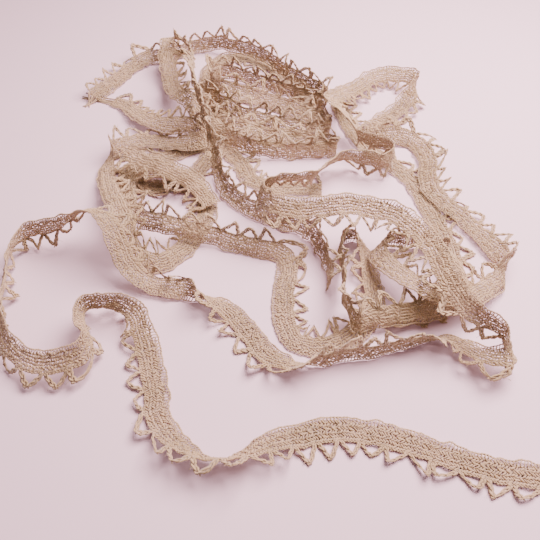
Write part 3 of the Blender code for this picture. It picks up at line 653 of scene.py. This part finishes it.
    place = added(place, scaled(sampled["picotAcross"].outputs["Value"], picot))
    place = added(place, scaled(bend.outputs["Result"], aboveW))
    split = addNode(tree, "ShaderNodeSeparateXYZ", {0: place})
    height = calc(split.outputs[2], calc(w, given["Lowest"]), "MAXIMUM")
    kept = addNode(tree, "ShaderNodeCombineXYZ", {0: split.outputs[0], 1: split.outputs[1], 2: height})
    bent = addNode(tree, "GeometryNodeSetPosition",
                   {"Geometry": real.outputs[0], "Position": kept.outputs[0]})
    joined = addNode(tree, "GeometryNodeMergeByDistance",
                     {"Geometry": bent.outputs[0], "Distance": wear["weld"]})
    smooth = addNode(tree, "GeometryNodeSetShadeSmooth", {"Geometry": joined.outputs[0]})
    whole = addNode(tree, "GeometryNodeRealizeInstances", {0: smooth.outputs[0]})
    dyed = addNode(tree, "GeometryNodeSetMaterial",
                   {"Geometry": whole.outputs[0], "Material": given["Cotton"]})
    addNode(tree, "NodeGroupOutput", {0: dyed.outputs[0]})
    return tree


frays = {  # free ends: first or last row, how many threads, how long in metres, how far they gather
    "backRidge": (0, 10, 0.010, 0.6),
    "leftSide": (-1, 8, 0.026, 0.8),
}


def addFray(piece, rows, end, count, length, gather, chance):  # threads pulled out of a cut end
    shape = bmesh.new()
    shape.from_mesh(piece.data)
    point = (rows[end, :3] - base) * 1000
    out = rows[end, :3] - rows[1 if end == 0 else -2, :3]
    out[2] = 0.0
    out /= np.linalg.norm(out)
    across = np.cos(rows[end, 3]) * sideways(rows)[end] + np.sin(rows[end, 3]) * np.array((0, 0, 1.0))
    for _ in range(count):
        v, bend = chance.uniform(-4.5, 4.5), chance.uniform(-1, 1)
        reach = length * chance.uniform(500, 1000)
        path = []
        for share in np.linspace(0, 1, 9):
            place = point + out * reach * share + across * v * (1 - gather * share)
            place = place + np.cross(out, (0, 0, 1)) * bend * 4 * share**2
            path.append((place[0], place[1], max(place[2] * (1 - share) ** 1.5, 0.45)))
        addThread(shape, path, threads["frayThick"])
    bmesh.ops.holes_fill(shape, edges=[e for e in shape.edges if e.is_boundary], sides=3)
    shape.faces.ensure_lookup_table()
    for face in shape.faces:
        face.material_index = shape.faces[0].material_index
        face.smooth = True
    shape.to_mesh(piece.data)
    shape.free()


def guideObject(name, rows):  # an edge path that carries the lace's directions
    mesh = bpy.data.meshes.new(name)
    count = len(rows)
    points = [tuple(point) for point in rows[:, :3] - base]
    mesh.from_pydata(points, [(k, k + 1) for k in range(count - 1)], [])
    level = sideways(rows)
    lean, folded = rows[:, 3, None], (rows[:, 3] + rows[:, 4])[:, None]
    up = np.array([[0.0, 0.0, 1.0]])
    directions = {"bodyAcross": np.cos(lean) * level + np.sin(lean) * up,
                  "bodyUp": np.cos(lean) * up - np.sin(lean) * level,
                  "picotAcross": np.cos(folded) * level + np.sin(folded) * up,
                  "picotUp": np.cos(folded) * up - np.sin(folded) * level}
    for title, values in directions.items():
        attribute = mesh.attributes.new(title, "FLOAT_VECTOR", "POINT")
        attribute.data.foreach_set("vector", values.astype(np.float32).ravel())
    obj = bpy.data.objects.new(name, mesh)
    bpy.context.scene.collection.objects.link(obj)
    return obj


def plainPiece(name, source):  # the evaluated result as a plain mesh with its open thread ends closed
    bpy.context.view_layer.update()
    graph = bpy.context.evaluated_depsgraph_get()
    mesh = bpy.data.meshes.new_from_object(source.evaluated_get(graph))
    mesh.name = name
    shape = bmesh.new()
    shape.from_mesh(mesh)
    bmesh.ops.holes_fill(shape, edges=shape.edges, sides=6)
    bmesh.ops.recalc_face_normals(shape, faces=shape.faces)
    shape.to_mesh(mesh)
    shape.free()
    obj = bpy.data.objects.new(name, mesh)
    bpy.context.scene.collection.objects.link(obj)
    return obj


def linear(hexColour):  # sRGB hex to linear
    parts = [int(hexColour[k : k + 2], 16) / 255 for k in (0, 2, 4)]
    return [c / 12.92 if c <= 0.04045 else ((c + 0.055) / 1.055) ** 2.4 for c in parts] + [1.0]


cottonLook = {
    "light": "c0a785",
    "dark": "9d8a60",
    "blotch": 22.0,  # millimetres
    "fibre": 0.9,
    "relief": 0.00015,  # metres
    "roughness": 0.86,
    "sheen": 0.25,
}


def cottonThread(name):  # unbleached cotton, twisted: matt, warm, a little fuzzy
    material = bpy.data.materials.new(name)
    material.use_nodes = True
    tree = material.node_tree
    shader = tree.nodes["Principled BSDF"]
    place = addNode(tree, "ShaderNodeTexCoord").outputs["Object"]
    blotch = addNode(tree, "ShaderNodeTexNoise", {"Vector": place, "Scale": 1000 / cottonLook["blotch"],
                                                  "Detail": 4.0, "Roughness": 0.6})
    fibre = addNode(tree, "ShaderNodeTexNoise", {"Vector": place, "Scale": 1000 / cottonLook["fibre"],
                                                 "Detail": 3.0})
    both = addNode(tree, "ShaderNodeMath", {0: blotch.outputs[0], 1: fibre.outputs[0]}, operation="ADD")
    tone = addNode(tree, "ShaderNodeMapRange", {0: both.outputs[0], 1: 0.75, 2: 1.3})
    colour = addNode(tree, "ShaderNodeMix", {"Factor": tone.outputs[0]}, data_type="RGBA")
    colour.inputs[6].default_value = linear(cottonLook["dark"])
    colour.inputs[7].default_value = linear(cottonLook["light"])
    tree.links.new(colour.outputs[2], shader.inputs["Base Color"])
    bump = addNode(tree, "ShaderNodeBump",
                   {"Height": fibre.outputs[0], "Distance": cottonLook["relief"], "Strength": 0.5})
    tree.links.new(bump.outputs[0], shader.inputs["Normal"])
    shader.inputs["Roughness"].default_value = cottonLook["roughness"]
    shader.inputs["Sheen Weight"].default_value = cottonLook["sheen"]
    shader.inputs["Sheen Roughness"].default_value = 0.6
    return material


cotton = cottonThread("cottonThread")

tables = (lengthOneRuns, lengthTwoRuns, lengthThreeRuns, lengthFourRuns, lengthFiveRuns)
paths = [layOut(runs) for runs in tables]
plans, heights = lay(paths)
heights[-1] -= heap["settled"]
print("lace laid")
base = np.array(placing["base"])
tree = laceTree()
inputs = {item.name: item.identifier for item in tree.interface.items_tree if item.in_out == "INPUT"}
for length, (node, names) in enumerate(placing["pieces"].items()):
    guide, repeats = guideRows(paths[length], plans[length], heights[length])
    run = np.linalg.norm(np.diff(guide[:, :3], axis=0), axis=1).sum()
    pitch = run / repeats
    chance = random.Random(threads["seed"] + length)
    units = [laceRepeat("laceRepeat", pitch * 1000, kind, chance) for kind in kinds]
    cuts = np.linspace(0, repeats, len(names) + 1).round().astype(int)
    for name, start, end in zip(names, cuts, cuts[1:]):
        source = guideObject("guide", guide)
        modifier = source.modifiers.new("lace", "NODES")
        modifier.node_group = tree
        rough = wear["rougher"].get(name, 1.0)
        settings = {"Plain repeat": units[0], "Open repeat": units[1], "Loose repeat": units[2],
                    "Pitch": pitch, "First": int(start), "Repeats": int(end - start),
                    "Body edge": lace["bodyWidth"] / 2, "Picot depth": lace["picotDepth"],
                    "Sway": wear["sway"] * rough, "Curl": wear["curl"] * rough,
                    "Slip": wear["slip"] * rough, "Shrink": wear["shrink"], "Cup": wear["cup"] * rough,
                    "Lowest": wear["lowest"], "Seed": wear["seed"] + int(start) + 1000 * length,
                    "Cotton": cotton}
        for title, value in settings.items():
            modifier[inputs[title]] = value
        piece = plainPiece(name, source)
        bpy.data.objects.remove(source)
        if name in frays:
            addFray(piece, guide, *frays[name], chance)
        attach(piece, "root")
        if start == 0:
            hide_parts(node)
        print(name, "made,", sum(len(face.vertices) - 2 for face in piece.data.polygons), "triangles")
    for unit in units:
        bpy.data.objects.remove(unit)

studio = {
    "table": "dcc5ce",
    "tableHalf": 1.5,
    "lens": 38.6,
    "sensor": 36.0,
    "tilt": 40,  # degrees, of the camera from straight down
    "keyPlace": (0.22, 0.12, 0.5),
    "keySize": 0.5,
    "keyPower": 16.0,
    "world": 0.31,
    "tint": "ffe0e6",  # of the daylight
}
shape = bmesh.new()
bmesh.ops.create_grid(shape, x_segments=1, y_segments=1, size=studio["tableHalf"])
floorMesh = bpy.data.meshes.new("table")
shape.to_mesh(floorMesh)
shape.free()
floor = bpy.data.objects.new("table", floorMesh)
bpy.context.scene.collection.objects.link(floor)
painted = bpy.data.materials.new("paintedTable")  # matt painted board: pale, even, no gloss
painted.use_nodes = True
painted.node_tree.nodes["Principled BSDF"].inputs["Base Color"].default_value = linear(studio["table"])
painted.node_tree.nodes["Principled BSDF"].inputs["Roughness"].default_value = 0.8
floorMesh.materials.append(painted)

world = bpy.data.worlds.new("studio")
world.use_nodes = True
world.node_tree.nodes["Background"].inputs[0].default_value = linear(studio["tint"])
world.node_tree.nodes["Background"].inputs[1].default_value = studio["world"]
bpy.context.scene.world = world
key = bpy.data.lights.new("softbox", "AREA")
key.shape = "DISK"
key.size = studio["keySize"]
key.energy = studio["keyPower"]
lamp = bpy.data.objects.new("softbox", key)
key.color = linear(studio["tint"])[:3]
lamp.location = studio["keyPlace"]
lamp.rotation_euler = (-Vector(lamp.location)).to_track_quat("-Z", "Y").to_euler()
bpy.context.scene.collection.objects.link(lamp)

camera = bpy.data.cameras.new("camera")
camera.lens = studio["lens"]
camera.sensor_width = studio["sensor"]
view = bpy.data.objects.new("camera", camera)
view.location = (-base[0], -heap["eyeBack"] - base[1], heap["eyeHeight"])
view.rotation_euler = (math.radians(studio["tilt"]), 0, 0)
bpy.context.scene.collection.objects.link(view)
bpy.context.scene.camera = view
print("stage set")
